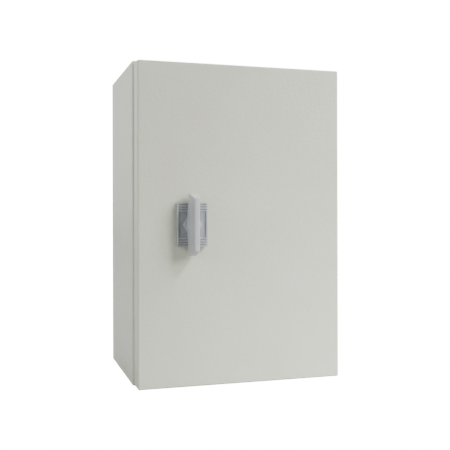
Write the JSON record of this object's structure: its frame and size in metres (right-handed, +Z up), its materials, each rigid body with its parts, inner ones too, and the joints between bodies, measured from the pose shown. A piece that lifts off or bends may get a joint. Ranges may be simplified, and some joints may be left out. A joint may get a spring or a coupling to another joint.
{
  "type": "switchboard cabinet",
  "caption": "Box-shaped wall cabinet for switchgear, with a hinged door, a quarter-turn wing latch, a mounting plate and a gland plate in the floor.",
  "frame": {"origin": "centre of the back face, which lies on the wall", "axes": "+Y into the wall, so the door faces -Y; +X to the right as seen from the front; +Z up"},
  "size_m": [0.2, 0.1726, 0.3],
  "materials": {
    "shell_coat": "light grey textured powder coat on sheet steel",
    "door_coat": "light grey textured powder coat on sheet steel",
    "galvanised": "hot-dip galvanised sheet with a fine spangle",
    "zinc_plated": "bright zinc-plated steel",
    "copper_plated": "copper-flashed weld studs",
    "spacer_nylon": "moulded natural nylon",
    "door_seal": "foamed-in-place polyurethane, matt",
    "sheet_seal": "cut EPDM sheet",
    "lock_moulding": "mid grey glass-filled nylon, fine matt grain",
    "handle_moulding": "light grey glass-filled nylon, fine matt grain",
    "spindle_steel": "turned zinc-plated steel",
    "spring_steel": "phosphated spring steel"
  },
  "bodies": {
    "cabinet": {"body_shell": "shell_coat", "plate_studs": "copper_plated", "plate_spacers": "spacer_nylon", "mounting_plate": "galvanised", "plate_washers": "zinc_plated", "plate_nuts": "zinc_plated", "gland_studs": "copper_plated", "gland_gasket": "sheet_seal", "gland_plate": "galvanised", "gland_washers": "zinc_plated", "gland_nuts": "zinc_plated", "body_earth_stud": "copper_plated", "body_earth_washers": "zinc_plated", "body_earth_nut": "zinc_plated", "hinge_leaf_upper": "zinc_plated", "hinge_leaf_lower": "zinc_plated", "hinge_screws": "zinc_plated", "hinge_nut_plate_upper": "zinc_plated", "hinge_nut_plate_lower": "zinc_plated", "hinge_pin_upper": "spindle_steel", "hinge_pin_lower": "spindle_steel", "hinge_clips": "spring_steel"},
    "door": {"door_panel": "door_coat", "door_gasket": "door_seal", "hinge_bracket_upper": "zinc_plated", "hinge_bracket_lower": "zinc_plated", "door_earth_stud": "copper_plated", "door_earth_washers": "zinc_plated", "door_earth_nut": "zinc_plated", "lock_housing": "lock_moulding", "lock_gasket": "sheet_seal", "lock_nut": "zinc_plated"},
    "latch": {"wing_handle": "handle_moulding", "spindle": "spindle_steel", "spindle_o_ring": "sheet_seal", "spindle_circlip": "spring_steel", "cam": "zinc_plated", "cam_washer": "zinc_plated", "cam_bolt": "zinc_plated"}
  },
  "joints": [
    {"name": "door_swing", "type": "hinge", "parent": "cabinet", "child": "door", "pos_m": [0.0939, -0.139, 0], "axis": [0, 0, 1], "range_deg": [0, 120]},
    {"name": "lock_turn", "type": "hinge", "parent": "door", "child": "latch", "pos_m": [-0.049, -0.14, -0.0013], "axis": [0, 1, 0], "range_deg": [0, 90]}
  ]
}
